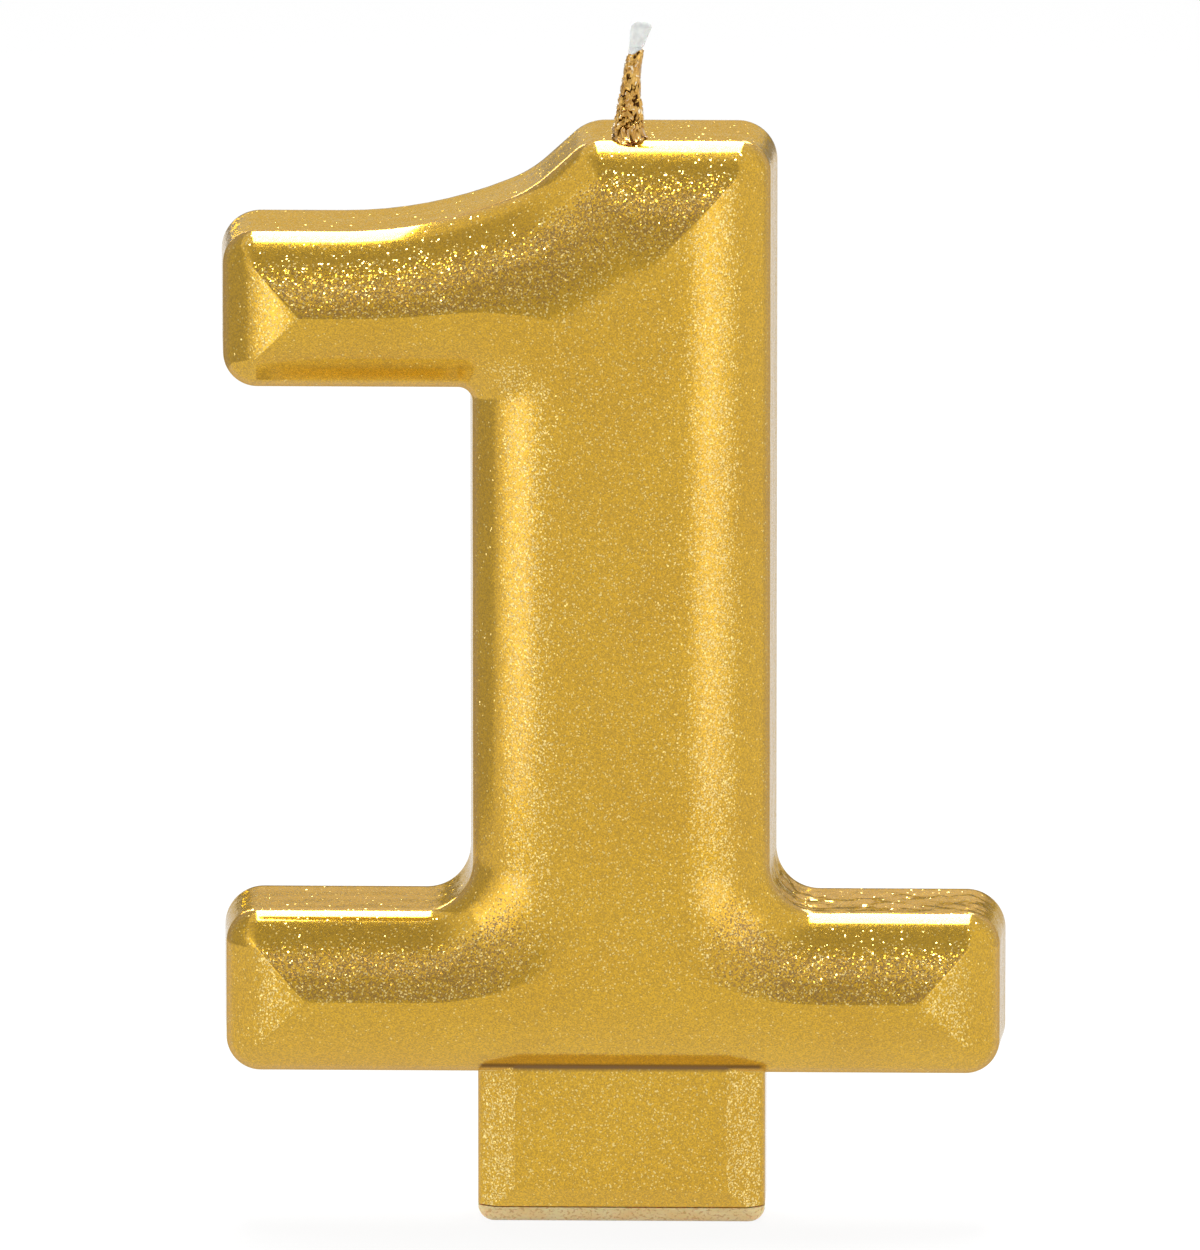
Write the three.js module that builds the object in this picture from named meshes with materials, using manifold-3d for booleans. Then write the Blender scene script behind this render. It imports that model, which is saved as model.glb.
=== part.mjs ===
// Birthday candle in the shape of the figure one: pale wax, a gold skin and a cotton wick.
// Millimetres, +Z up, front facing -Y. The origin is the middle of the insert tab's foot.

import * as THREE from 'three';
import { mergeVertices } from 'three/addons/utils/BufferGeometryUtils.js';
import Module from 'manifold-3d';

const wasm = await Module();
wasm.setup();

// Figure, seen from the front and measured on its flat back
const stemWidth = 21.2;
const figureHeight = 65.75;
const barHeight = 12.1;
const barLeft = 27.6;
const barRight = 26.45;
const flagReach = 27.7;
const flagHeight = 11.65;
const flagDrop = 6.36;
const headLeft = 2.46;
const elbowLeft = 6.34;
const elbowDrop = 3.51;
const riseLeft = 13.35;

// Corner radii of the figure
const outerCorner = 2.75;
const barCorner = 3;
const flagCorner = 0.6;
const headCorner = 3.2;
const elbowRadius = 8.3;
const riseRadius = 30;

// Section of the figure, from the flat back to the crowned face
const figureThickness = 12.8;
const figureWall = 7;
const figureDraft = 3;
const figureFillet = 2.4;
const figureRimAngle = 46;
const backEdge = 0.6;

// Insert tab below the bar, without draft so that its foot is level
const tabWidth = 19.8;
const tabDrop = 10.3;
const tabRoot = 6;
const tabThickness = 8.5;
const tabWall = 6.2;
const tabFillet = 0.9;
const tabRimAngle = 35;
const tabCorner = 1.1;

// Gold skin: its wall, its gap to the wax, and the band of the foot where the wax is bare
const skinWall = 0.3;
const skinGap = 0.1;
const bareFoot = 1.25;

// Wick: place, size, lean of the exposed end, and the frayed tip
const wickSide = 0.3;
const wickDepth = 6.5;
const wickRadius = 0.5;
const wickFit = 0.05;
const wickFootHeight = 14;
const wickRise = 7.9;
const wickLean = 0.8;
const tipRadius = 0.68;
const tipEndRadius = 0.45;
const wickSides = 14;

// Gold sleeve on the lower half of the exposed wick
const sleeveRise = 5.85;
const sleeveRadius = 0.72;
const sleeveLipRadius = 0.62;
const shoulderRadius = 0.95;
const shoulderRise = 2.1;
const collarRadius = 1.15;
const collarRise = 0.45;
const collarDip = 0.9;
const seatGap = 0.3;

// Fineness of the faceted surfaces
const arcStep = 15;
const arcSpan = 2;
const ridgeLand = 0.1;
const ridgeTolerance = 0.04;
const ridgeStep = 1.8;
const shortestSpan = 0.9;
const fineSpan = 0.4;
const fineArcStep = 4;
const outerSteps = { edge: 2, fillet: 4, face: 5 };
const innerSteps = { edge: 1, fillet: 2, face: 4 };

const degree = Math.PI / 180;
const headTop = tabDrop + figureHeight;
const backY = tabThickness / 2;
const coreShell = skinWall + skinGap;

// Section of a moulding: [inset from the outline, depth from the back] along one inward normal.
// A domed face is a parabola that levels out at its reach; a plain face is a straight bevel.
class Section {
  constructor({ thickness, wall, draft, fillet, rimAngle, domed }) {
    const lean = draft * degree;
    this.thickness = thickness;
    this.fillet = fillet;
    this.domed = domed;
    this.wallTurn = Math.PI / 2 - lean;
    this.rim = rimAngle * degree;
    this.edgeCentre = [backEdge * (1 + Math.sin(lean)) / Math.cos(lean), backEdge];
    this.filletCentre = [
      wall * Math.tan(lean) + fillet * Math.cos(lean),
      wall - fillet * Math.sin(lean),
    ];
    this.rimInset = this.filletCentre[0] - fillet * Math.sin(this.rim);
    this.rise = thickness - this.filletCentre[1] - fillet * Math.cos(this.rim);
    this.reach = this.rimInset + (domed ? 2 : 1) * this.rise / Math.tan(this.rim);
  }

  // Smallest outline corner that leaves room for every shell's rim
  leastCorner() {
    return this.rimInset + coreShell * Math.sin(this.rim) + 2 * ridgeLand;
  }

  // Depth of the face at an inset, taken a shell's thickness below the outer surface
  faceDepth(inset, shell) {
    const left = Math.max(0, 1 - (inset - this.rimInset) / (this.reach - this.rimInset));
    if (this.domed) {
      const slope = Math.atan(left * Math.tan(this.rim));
      return this.thickness - this.rise * left ** 2 - shell / Math.cos(slope);
    }
    const slope = left > 0 ? this.rim : 0;
    return this.thickness - this.rise * left - shell / Math.cos(slope);
  }

  // Points from the back plane, round the back edge, up the wall and over the rim to the inset end
  rows(shell, end, steps) {
    const points = [];
    addArc(points, this.edgeCentre, backEdge - shell, Math.PI, this.wallTurn, steps.edge);
    addArc(points, this.filletCentre, this.fillet - shell, this.wallTurn, this.rim, steps.fillet);
    const start = this.rimInset + shell * Math.sin(this.rim);
    for (let k = 1; k <= steps.face; k += 1) {
      const inset = start + (end - start) * k / steps.face;
      points.push([inset, this.faceDepth(inset, shell)]);
    }
    return points;
  }
}

// Arc of a section, given by the direction of its tangent at both ends
function addArc(points, [inset, depth], radius, from, to, steps) {
  for (let k = 0; k <= steps; k += 1) {
    const turn = from + (to - from) * k / steps;
    points.push([inset - radius * Math.sin(turn), depth + radius * Math.cos(turn)]);
  }
}

// Corners of the figure, anticlockwise as seen from the front: [x, z, radius]
function figureCorners() {
  const half = stemWidth / 2;
  const barTop = tabDrop + barHeight;
  const flagTop = headTop - flagDrop;
  const flagFoot = flagTop - flagHeight;
  return [
    [-barLeft, tabDrop, outerCorner],
    [barRight, tabDrop, outerCorner],
    [barRight, barTop, outerCorner],
    [half, barTop, barCorner],
    [half, headTop, outerCorner],
    [-headLeft, headTop, headCorner],
    [-elbowLeft, headTop - elbowDrop, elbowRadius],
    [-riseLeft, flagTop, riseRadius],
    [-flagReach, flagTop, outerCorner],
    [-flagReach, flagFoot, outerCorner],
    [-half, flagFoot, flagCorner],
    [-half, barTop, barCorner],
    [-barLeft, barTop, outerCorner],
  ];
}

// Corners of the tab, whose foot stands at the origin
function tabCorners() {
  const half = tabWidth / 2;
  return [
    [-half, 0, tabCorner],
    [half, 0, tabCorner],
    [half, tabDrop + tabRoot, tabCorner],
    [-half, tabDrop + tabRoot, tabCorner],
  ];
}

// Point of an outline with its inward normal, which is the left of the way the outline runs
function outlinePoint(x, z, angle) {
  return { x, z, angle, nx: -Math.sin(angle), nz: Math.cos(angle) };
}

// Points along the round of one corner, both tangent points included
function cornerPoints(before, corner, after, leastRadius, stepDegrees) {
  const [x, z, wanted] = corner;
  const inAngle = Math.atan2(z - before[1], x - before[0]);
  const outAngle = Math.atan2(after[1] - z, after[0] - x);
  const turn = Math.atan2(Math.sin(outAngle - inAngle), Math.cos(outAngle - inAngle));
  const radius = turn > 0 ? Math.max(wanted, leastRadius) : wanted;
  const side = Math.sign(turn) * radius;
  const tangent = radius * Math.tan(Math.abs(turn) / 2);
  const cx = x - tangent * Math.cos(inAngle) - side * Math.sin(inAngle);
  const cz = z - tangent * Math.sin(inAngle) + side * Math.cos(inAngle);
  const count = Math.ceil(Math.abs(turn) * Math.max(1 / (stepDegrees * degree), radius / arcSpan));
  return Array.from({ length: count + 1 }, (_, k) => {
    const angle = inAngle + turn * k / count;
    return outlinePoint(cx + side * Math.sin(angle), cz - side * Math.cos(angle), angle);
  });
}

function between(from, to, share) {
  const x = from.x + (to.x - from.x) * share;
  const z = from.z + (to.z - from.z) * share;
  return outlinePoint(x, z, from.angle);
}

function distance(a, b) {
  return Math.hypot(a.x - b.x, a.z - b.z);
}

// Whole outline, with split adding the points of each straight stretch
function traceOutline(corners, leastRadius, stepDegrees, split) {
  const count = corners.length;
  const rounds = corners.map((corner, i) => cornerPoints(
    corners[(i + count - 1) % count], corner, corners[(i + 1) % count], leastRadius, stepDegrees,
  ));
  return rounds.flatMap((round, i) => {
    const from = { ...round.at(-1) };
    const to = rounds[(i + 1) % count][0];
    return [...round, ...split(from, to)];
  });
}

// Even points along a straight stretch, close enough to measure from
function evenSplit(from, to) {
  const spans = Math.ceil(distance(from, to) / fineSpan);
  return Array.from({ length: Math.max(0, spans - 1) }, (_, k) => between(from, to, (k + 1) / spans));
}

// Radius of the largest circle inside the outline that touches it at the point
function inscribedRadius(point, outline) {
  let radius = Infinity;
  for (const other of outline) {
    const dx = other.x - point.x;
    const dz = other.z - point.z;
    const along = dx * point.nx + dz * point.nz;
    if (along > 1e-6) radius = Math.min(radius, (dx * dx + dz * dz) / (2 * along));
  }
  return radius;
}

// Columns of the face: each outline point knows how far in it goes before it meets a ridge.
// Straight stretches are split where the ridge line turns or climbs.
function faceColumns(corners, section) {
  const least = section.leastCorner();
  const fine = traceOutline(corners, least, fineArcStep, evenSplit);
  const end = (point) => Math.min(section.reach, inscribedRadius(point, fine) - ridgeLand);
  const ridgeSplit = (from, to) => {
    const middle = between(from, to, 0.5);
    if (distance(from, to) < shortestSpan) return [];
    const change = end(to) - end(from);
    const bends = [0.25, 0.5, 0.75].map(
      (share) => Math.abs(end(between(from, to, share)) - end(from) - change * share),
    );
    if (Math.max(...bends) < ridgeTolerance && Math.abs(change) < ridgeStep) return [];
    return [...ridgeSplit(from, middle), middle, ...ridgeSplit(middle, to)];
  };
  const points = traceOutline(corners, least, arcStep, ridgeSplit);
  return points.map((point) => ({ ...point, end: end(point) }));
}

function cross(a, b, c) {
  return (b.x - a.x) * (c.z - a.z) - (b.z - a.z) * (c.x - a.x);
}

function blocks(a, b, c, p) {
  return cross(a, b, p) >= 0 && cross(b, c, p) >= 0 && cross(c, a, p) >= 0;
}

// Triangles that fill a loop by cutting off its best ear each time, using every point once
function fillLoop(loop) {
  const left = loop.map((_, i) => i);
  const triangles = [];
  while (left.length > 3) {
    let best = { score: 0 };
    left.forEach((middle, i) => {
      const before = left[(i + left.length - 1) % left.length];
      const after = left[(i + 1) % left.length];
      const [a, b, c] = [loop[before], loop[middle], loop[after]];
      const longest = Math.max(distance(a, b), distance(b, c), distance(c, a));
      const score = cross(a, b, c) / longest ** 2;
      if (score <= best.score) return;
      const others = left.filter((k) => k !== before && k !== middle && k !== after);
      if (others.some((k) => blocks(a, b, c, loop[k]))) return;
      best = { score, i, triangle: [before, middle, after] };
    });
    if (!best.triangle) throw new Error('the outline crosses itself');
    triangles.push(best.triangle);
    left.splice(best.i, 1);
  }
  triangles.push([...left]);
  return triangles;
}

function geometryFrom(positions, triangles) {
  const geometry = new THREE.BufferGeometry();
  geometry.setAttribute('position', new THREE.Float32BufferAttribute(positions.flat(), 3));
  geometry.setIndex(triangles.flat());
  return geometry;
}

// Closed moulding with a flat back: the section stands on every point of the outline
function mouldGeometry(columns, section, shell, steps) {
  const grid = columns.map((column) => section.rows(shell, column.end, steps).map(
    ([inset, depth]) => [column.x + inset * column.nx, backY - depth, column.z + inset * column.nz],
  ));
  const height = grid[0].length;
  const index = (i, k) => (i % columns.length) * height + k;
  const triangles = [];
  for (let i = 0; i < columns.length; i += 1) {
    for (let k = 0; k < height - 1; k += 1) {
      triangles.push([index(i, k), index(i + 1, k), index(i + 1, k + 1)]);
      triangles.push([index(i, k), index(i + 1, k + 1), index(i, k + 1)]);
    }
  }
  const flat = (k) => grid.map((row) => ({ x: row[k][0], z: row[k][2] }));
  for (const [a, b, c] of fillLoop(flat(0))) triangles.push([index(a, 0), index(c, 0), index(b, 0)]);
  const top = height - 1;
  for (const [a, b, c] of fillLoop(flat(top))) triangles.push([index(a, top), index(b, top), index(c, top)]);
  return geometryFrom(grid.flat(), triangles);
}

// Closed stack of level rings, each { x, y, z, radius }, from the lowest up
function ringStack(rings) {
  const positions = rings.flatMap((ring) => Array.from({ length: wickSides }, (_, k) => {
    const angle = 2 * Math.PI * k / wickSides;
    return [ring.x + ring.radius * Math.cos(angle), ring.y + ring.radius * Math.sin(angle), ring.z];
  }));
  const index = (i, k) => i * wickSides + (k % wickSides);
  const triangles = [];
  for (let i = 0; i < rings.length - 1; i += 1) {
    for (let k = 0; k < wickSides; k += 1) {
      triangles.push([index(i, k), index(i, k + 1), index(i + 1, k + 1)]);
      triangles.push([index(i, k), index(i + 1, k + 1), index(i + 1, k)]);
    }
  }
  const last = rings.length - 1;
  for (let k = 1; k < wickSides - 1; k += 1) {
    triangles.push([index(0, 0), index(0, k + 1), index(0, k)]);
    triangles.push([index(last, 0), index(last, k), index(last, k + 1)]);
  }
  return geometryFrom(positions, triangles);
}

function toSolid(geometry) {
  const bare = geometry.clone();
  bare.deleteAttribute('normal');
  bare.deleteAttribute('uv');
  const merged = mergeVertices(bare);
  return new wasm.Manifold(new wasm.Mesh({
    numProp: 3,
    vertProperties: new Float32Array(merged.attributes.position.array),
    triVerts: new Uint32Array(merged.index.array),
  }));
}

function toGeometry(solid) {
  const { vertProperties, triVerts } = solid.getMesh();
  const geometry = new THREE.BufferGeometry();
  geometry.setAttribute('position', new THREE.BufferAttribute(vertProperties, 3));
  geometry.setIndex(new THREE.BufferAttribute(triVerts, 1));
  geometry.computeVertexNormals();
  return geometry;
}

const figureSection = new Section({
  thickness: figureThickness,
  wall: figureWall,
  draft: figureDraft,
  fillet: figureFillet,
  rimAngle: figureRimAngle,
  domed: true,
});
const tabSection = new Section({
  thickness: tabThickness,
  wall: tabWall,
  draft: 0,
  fillet: tabFillet,
  rimAngle: tabRimAngle,
  domed: false,
});
const figureColumns = faceColumns(figureCorners(), figureSection);
const tabColumns = faceColumns(tabCorners(), tabSection);

function figureSolid(shell, steps) {
  return toSolid(mouldGeometry(figureColumns, figureSection, shell, steps));
}

function tabSolid(shell, steps) {
  return toSolid(mouldGeometry(tabColumns, tabSection, shell, steps));
}

// Figure and tab in one piece, a shell's thickness inside the outer surface
function mouldedSolid(shell, steps) {
  return figureSolid(shell, steps).add(tabSolid(shell, steps));
}

// Block that takes in the tab from below its foot up to a height
function footBlock(height) {
  const depth = 4 * tabThickness;
  const block = new THREE.BoxGeometry(2 * tabWidth, depth, depth);
  block.translate(0, 0, height - depth / 2);
  return toSolid(block);
}

// Centre of the wick at a height: upright in the wax, leaning to the right above it
function wickRing(z, radius) {
  const share = Math.max(0, (z - headTop) / wickRise);
  return { x: wickSide + wickLean * share ** 1.3, y: backY - wickDepth, z, radius };
}

// Rings of the wick up to the top of the sleeve, wider by a clearance
function stemRings(clearance, topHeight) {
  const radius = wickRadius + clearance;
  const exposed = [0, 0.25, 0.5, 0.75, 1].map((share) => headTop + topHeight * share);
  return [wickFootHeight - clearance, ...exposed].map((z) => wickRing(z, radius));
}

// Under the skin, and as wide as the skin along the bare band of the foot
function waxCoreGeometry() {
  const bore = toSolid(ringStack(stemRings(wickFit, wickRise)));
  const foot = tabSolid(0, outerSteps).intersect(footBlock(bareFoot - skinGap));
  return toGeometry(mouldedSolid(coreShell, innerSteps).add(foot).subtract(bore));
}

// Open at the wick and below the bare band of the foot
function goldSkinGeometry() {
  const bore = toSolid(ringStack(stemRings(wickFit, wickRise)));
  const outer = mouldedSolid(0, outerSteps);
  const inner = mouldedSolid(skinWall, innerSteps);
  return toGeometry(outer.subtract(inner).subtract(bore).subtract(footBlock(bareFoot)));
}

function wickGeometry() {
  const sleeveTop = headTop + sleeveRise;
  const tipTop = headTop + wickRise;
  const tip = [[0.25, wickRadius], [0.5, tipRadius], [0.85, tipRadius], [1, tipEndRadius]];
  return ringStack([
    ...stemRings(0, sleeveRise),
    ...tip.map(([share, radius]) => wickRing(sleeveTop + (tipTop - sleeveTop) * share, radius)),
  ]);
}

// Sleeve seated on the head, with its lower end shaped to the wall and fillet there
function sleeveGeometry() {
  const profile = [
    [-collarDip, collarRadius],
    [0, collarRadius],
    [collarRise, shoulderRadius],
    [shoulderRise, shoulderRadius],
    [shoulderRise + collarRise, sleeveRadius],
    [sleeveRise - collarRise, sleeveRadius],
    [sleeveRise, sleeveLipRadius],
  ];
  const outer = toSolid(ringStack(profile.map(([rise, radius]) => wickRing(headTop + rise, radius))));
  const bore = toSolid(ringStack(stemRings(wickFit, wickRise)));
  return toGeometry(outer.subtract(bore).subtract(figureSolid(-seatGap, innerSteps)));
}

function piece(name, geometry, color, roughness, metalness) {
  const mesh = new THREE.Mesh(geometry, new THREE.MeshStandardMaterial({ color, roughness, metalness }));
  mesh.name = name;
  return mesh;
}

const candle = new THREE.Group();
candle.name = 'number_candle';
candle.add(piece('wax_core', waxCoreGeometry(), 0xf0e4c8, 0.55, 0));
candle.add(piece('gold_skin', goldSkinGeometry(), 0xd4a937, 0.35, 1));
candle.add(piece('wick', wickGeometry(), 0xe8e4da, 0.8, 0));
candle.add(piece('wick_sleeve', sleeveGeometry(), 0xc99a35, 0.25, 1));

export default candle;
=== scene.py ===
"""Gold number candle in a plain studio: a crowned figure one with an insert tab and a half gilded wick.

Sizes are held in millimetres, as the candle's maker would give them, and MM turns them into metres.
"""
import logging
import math
from dataclasses import dataclass
from enum import Enum

import bmesh
import bpy
import numpy as np
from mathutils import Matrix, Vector, noise
from mathutils.geometry import delaunay_2d_cdt


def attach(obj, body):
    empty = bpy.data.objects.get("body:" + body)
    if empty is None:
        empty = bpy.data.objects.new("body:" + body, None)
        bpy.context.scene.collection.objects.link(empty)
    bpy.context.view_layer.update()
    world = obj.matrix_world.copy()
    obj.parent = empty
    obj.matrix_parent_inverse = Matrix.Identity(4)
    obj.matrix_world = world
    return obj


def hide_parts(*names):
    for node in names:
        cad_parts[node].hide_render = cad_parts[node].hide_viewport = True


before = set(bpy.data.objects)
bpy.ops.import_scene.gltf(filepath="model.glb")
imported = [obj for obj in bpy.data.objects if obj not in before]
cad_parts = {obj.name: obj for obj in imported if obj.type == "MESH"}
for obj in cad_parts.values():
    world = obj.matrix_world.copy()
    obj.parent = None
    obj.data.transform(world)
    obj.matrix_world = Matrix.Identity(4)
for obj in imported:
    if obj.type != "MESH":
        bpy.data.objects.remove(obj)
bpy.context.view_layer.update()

LOG = logging.getLogger("number_candle")
BODY = "root"
MM = 0.001
TINY = 1e-6
NOISE_SEED = 7
ROW = "row"
COLUMN = "column"
CREASE = "crease"
WHITE = (1, 1, 1, 1)
FLAKE_VALUES = {
    "Size mm": 0.2,
    "Lean": 0.3,
    "Contrast": 0.4,
    "Spark Lean": 0.6,
    "Top Share": 0.5,
    "Side Share": 0.3,
    "Front Share": 0.1,
    "Pale Share": 0.3,
}

Pair = tuple[float, float]
Triple = tuple[float, float, float]
Colour = tuple[float, float, float, float]
Piece = bpy.types.Object
Material = bpy.types.Material
Node = bpy.types.Node
Output = bpy.types.NodeSocket
Outputs = bpy.types.bpy_prop_collection


class FaceForm(Enum):
    """How the front face of a moulding rises from its rim."""

    DOMED = "parabola that levels out"
    BEVELLED = "straight bevel up to a flat panel"


class Cut(Enum):
    """How one solid changes another."""

    JOIN = "UNION"
    REMOVE = "DIFFERENCE"


@dataclass(frozen=True)
class Corner:
    """A corner of an outline seen from the front, with the radius that rounds it."""

    x: float
    z: float
    radius: float


@dataclass(frozen=True)
class Layer:
    """Surface of a moulding: how far under its outside it lies, and how many rings each stretch has."""

    under: float
    edge: int
    wall: int
    fillet: int
    face: int


@dataclass(frozen=True)
class Section:
    """Section of a moulding from its flat back to its face, along one inward normal."""

    thickness: float
    wall: float
    draft: float
    fillet: float
    rim_angle: float
    form: FaceForm
    back_edge: float = 0.6
    back_land: float = 0.2

    @property
    def lean(self) -> float:
        """Draft of the wall in radians."""
        return math.radians(self.draft)

    @property
    def rim(self) -> float:
        """Slope of the face at its rim in radians."""
        return math.radians(self.rim_angle)

    @property
    def fillet_centre(self) -> Pair:
        """Inset and depth of the front fillet's centre."""
        inset = self.wall * math.tan(self.lean) + self.fillet * math.cos(self.lean)
        return inset, self.wall - self.fillet * math.sin(self.lean)

    @property
    def rim_inset(self) -> float:
        """Inset at which the fillet ends and the face begins."""
        return self.fillet_centre[0] - self.fillet * math.sin(self.rim)

    @property
    def rise(self) -> float:
        """Height of the face above its rim."""
        return self.thickness - self.fillet_centre[1] - self.fillet * math.cos(self.rim)

    @property
    def reach(self) -> float:
        """Inset at which the face is level."""
        share = 2 if self.form is FaceForm.DOMED else 1
        return self.rim_inset + share * self.rise / math.tan(self.rim)

    def face_depth(self, inset: np.ndarray, under: float) -> np.ndarray:
        """Depth of the face from the back.

        Args:
            inset: how far in from the outline each point lies.
            under: how far under the outer surface it lies.

        Returns:
            The depth of each point.
        """
        left = np.clip(1 - (inset - self.rim_inset) / (self.reach - self.rim_inset), 0, None)
        if self.form is FaceForm.DOMED:
            slope = np.arctan(left * math.tan(self.rim))
            return self.thickness - self.rise * left**2 - under / np.cos(slope)
        slope = np.where(left > 0, self.rim, 0)
        return self.thickness - self.rise * left - under / np.cos(slope)

    def arc(self, centre: Pair, radius: float, turns: Pair, count: int) -> np.ndarray:
        """Arc of the section.

        Args:
            centre: inset and depth of the arc's centre.
            radius: its radius.
            turns: direction of the tangent at both ends, in radians.
            count: number of steps.

        Returns:
            Rows of inset and depth.
        """
        turn = np.linspace(*turns, count + 1)
        return np.column_stack([centre[0] - radius * np.sin(turn), centre[1] + radius * np.cos(turn)])

    def rim_rows(self, layer: Layer) -> np.ndarray:
        """Rings that every column of a layer shares, from the back land up to the rim.

        Args:
            layer: the layer.

        Returns:
            Rows of inset and depth.
        """
        upright = math.pi / 2 - self.lean
        edge_inset = self.back_edge * (1 + math.sin(self.lean)) / math.cos(self.lean)
        centre = (edge_inset, self.back_edge)
        edge = self.arc(centre, self.back_edge - layer.under, (math.pi, upright), layer.edge)
        radius = self.fillet - layer.under
        fillet = self.arc(self.fillet_centre, radius, (upright, self.rim), layer.fillet)
        wall = np.linspace(edge[-1], fillet[0], layer.wall + 1)[1:-1]
        land = edge[:1] + np.array([[self.back_land, 0]])
        return np.vstack([land, edge, wall, fillet])


@dataclass(frozen=True)
class Outline:
    """Round-cornered outline, anticlockwise as seen from the front."""

    corners: tuple[Corner, ...]
    span: float = 0.4
    arc_step: float = 3.0

    def round_points(self, index: int) -> list[Triple]:
        """Places along the round of one corner, from tangent point to tangent point.

        Args:
            index: which corner.

        Returns:
            Rows of x, z and the outline's direction there.
        """
        before, corner, after = (self.corners[(index + k) % len(self.corners)] for k in (-1, 0, 1))
        into = math.atan2(corner.z - before.z, corner.x - before.x)
        out = math.atan2(after.z - corner.z, after.x - corner.x)
        turn = math.atan2(math.sin(out - into), math.cos(out - into))
        side = math.copysign(corner.radius, turn)
        tangent = corner.radius * math.tan(abs(turn) / 2)
        centre_x = corner.x - tangent * math.cos(into) - side * math.sin(into)
        centre_z = corner.z - tangent * math.sin(into) + side * math.cos(into)
        count = math.ceil(abs(turn) / math.radians(self.arc_step))
        angles = [into + turn * k / count for k in range(count + 1)]
        return [(centre_x + side * math.sin(a), centre_z - side * math.cos(a), a) for a in angles]

    def trace(self) -> np.ndarray:
        """Walks once round the outline.

        Returns:
            Rows of x, z and the inward normal's x and z.
        """
        points: list[Triple] = []
        rounds = [self.round_points(k) for k in range(len(self.corners))]
        for here, following in zip(rounds, rounds[1:] + rounds[:1]):
            points += here
            start, end = np.array(here[-1]), np.array(following[0])
            spans = math.ceil(float(np.hypot(*(end - start)[:2])) / self.span)
            for k in range(1, spans):
                x, z = (start + (end - start) * k / spans)[:2]
                points.append((float(x), float(z), here[-1][2]))
        table = np.array(points)
        return np.column_stack([table[:, :2], -np.sin(table[:, 2]), np.cos(table[:, 2])])


def deselect() -> None:
    """Leaves edit mode and selects nothing."""
    if bpy.context.mode != "OBJECT":
        bpy.ops.object.mode_set(mode="OBJECT")
    bpy.ops.object.select_all(action="DESELECT")


def make_active(piece: Piece) -> None:
    """Selects one piece alone and makes it the active one.

    Args:
        piece: the piece.
    """
    deselect()
    piece.select_set(True)
    bpy.context.view_layer.objects.active = piece


def combine(piece: Piece, tool: Piece, cut: Cut) -> None:
    """Joins a tool solid to a piece or takes it away, and deletes the tool.

    Args:
        piece: the solid that stays.
        tool: the solid that is used up.
        cut: what happens.
    """
    make_active(piece)
    modifier = piece.modifiers.new("combine", "BOOLEAN")
    modifier.operation = cut.value
    modifier.object = tool
    modifier.solver = "MANIFOLD"
    bpy.ops.object.modifier_apply(modifier=modifier.name)
    bpy.data.objects.remove(tool)


def loft(name: str, rings: np.ndarray, closed: bool = False) -> Piece:
    """Draws a skin by extruding one loop again and again, then sets each ring in its place.

    Args:
        name: name of the new piece.
        rings: places in metres, indexed by ring, column and axis.
        closed: whether the last ring is bridged to the first one.

    Returns:
        The piece. Unless it is closed, its first ring is filled and its last one is open.
    """
    deselect()
    fill = "NOTHING" if closed else "NGON"
    bpy.ops.mesh.primitive_circle_add(vertices=rings.shape[1], radius=1, fill_type=fill)
    piece = bpy.context.object
    piece.name = name
    bpy.ops.object.mode_set(mode="EDIT")
    bpy.ops.mesh.select_mode(type="EDGE")
    bpy.ops.mesh.select_all(action="SELECT")
    mesh = bmesh.from_edit_mesh(piece.data)
    column = mesh.verts.layers.int.new(COLUMN)
    mesh.verts.layers.int.new(ROW)
    for index, vertex in enumerate(mesh.verts):
        vertex[column] = index
    bmesh.update_edit_mesh(piece.data)
    for number in range(1, len(rings)):
        bpy.ops.mesh.extrude_edges_indiv()
        mesh = bmesh.from_edit_mesh(piece.data)
        row = mesh.verts.layers.int[ROW]
        mesh.verts.ensure_lookup_table()
        for vertex in mesh.verts[-rings.shape[1]:]:
            vertex[row] = number
    if closed:
        select_rings(piece, (0, len(rings) - 1))
        bpy.ops.mesh.bridge_edge_loops()
    bpy.ops.object.mode_set(mode="OBJECT")
    rows, columns = (read_numbers(piece, layer) for layer in (ROW, COLUMN))
    piece.data.vertices.foreach_set("co", rings[rows, columns].ravel())
    return piece


def read_numbers(piece: Piece, layer: str) -> np.ndarray:
    """Reads the whole numbers that a piece's vertices hold.

    Args:
        piece: the piece.
        layer: the name that they are held under.

    Returns:
        One number for each vertex.
    """
    numbers = np.zeros(len(piece.data.vertices), int)
    piece.data.attributes[layer].data.foreach_get("value", numbers)
    return numbers


def select_rings(piece: Piece, numbers: tuple[int, ...]) -> None:
    """Selects the edges along some rings of a lofted piece.

    Args:
        piece: the piece, in edit mode.
        numbers: the rings.
    """
    mesh = bmesh.from_edit_mesh(piece.data)
    row = mesh.verts.layers.int[ROW]
    for edge in mesh.edges:
        edge.select = edge.verts[0][row] == edge.verts[1][row] and edge.verts[0][row] in numbers
    bmesh.update_edit_mesh(piece.data)


def turn_out() -> None:
    """Turns all faces of the piece in edit mode outwards, and leaves edit mode."""
    bpy.ops.mesh.select_all(action="SELECT")
    bpy.ops.mesh.normals_make_consistent(inside=False)
    bpy.ops.object.mode_set(mode="OBJECT")


def capped(name: str, rings: np.ndarray) -> Piece:
    """Lofts rings and closes both ends.

    Args:
        name: name of the new piece.
        rings: places in metres, indexed by ring, column and axis.

    Returns:
        The piece.
    """
    piece = loft(name, rings)
    make_active(piece)
    bpy.ops.object.mode_set(mode="EDIT")
    select_rings(piece, (len(rings) - 1,))
    bpy.ops.mesh.edge_face_add()
    turn_out()
    return piece


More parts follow.
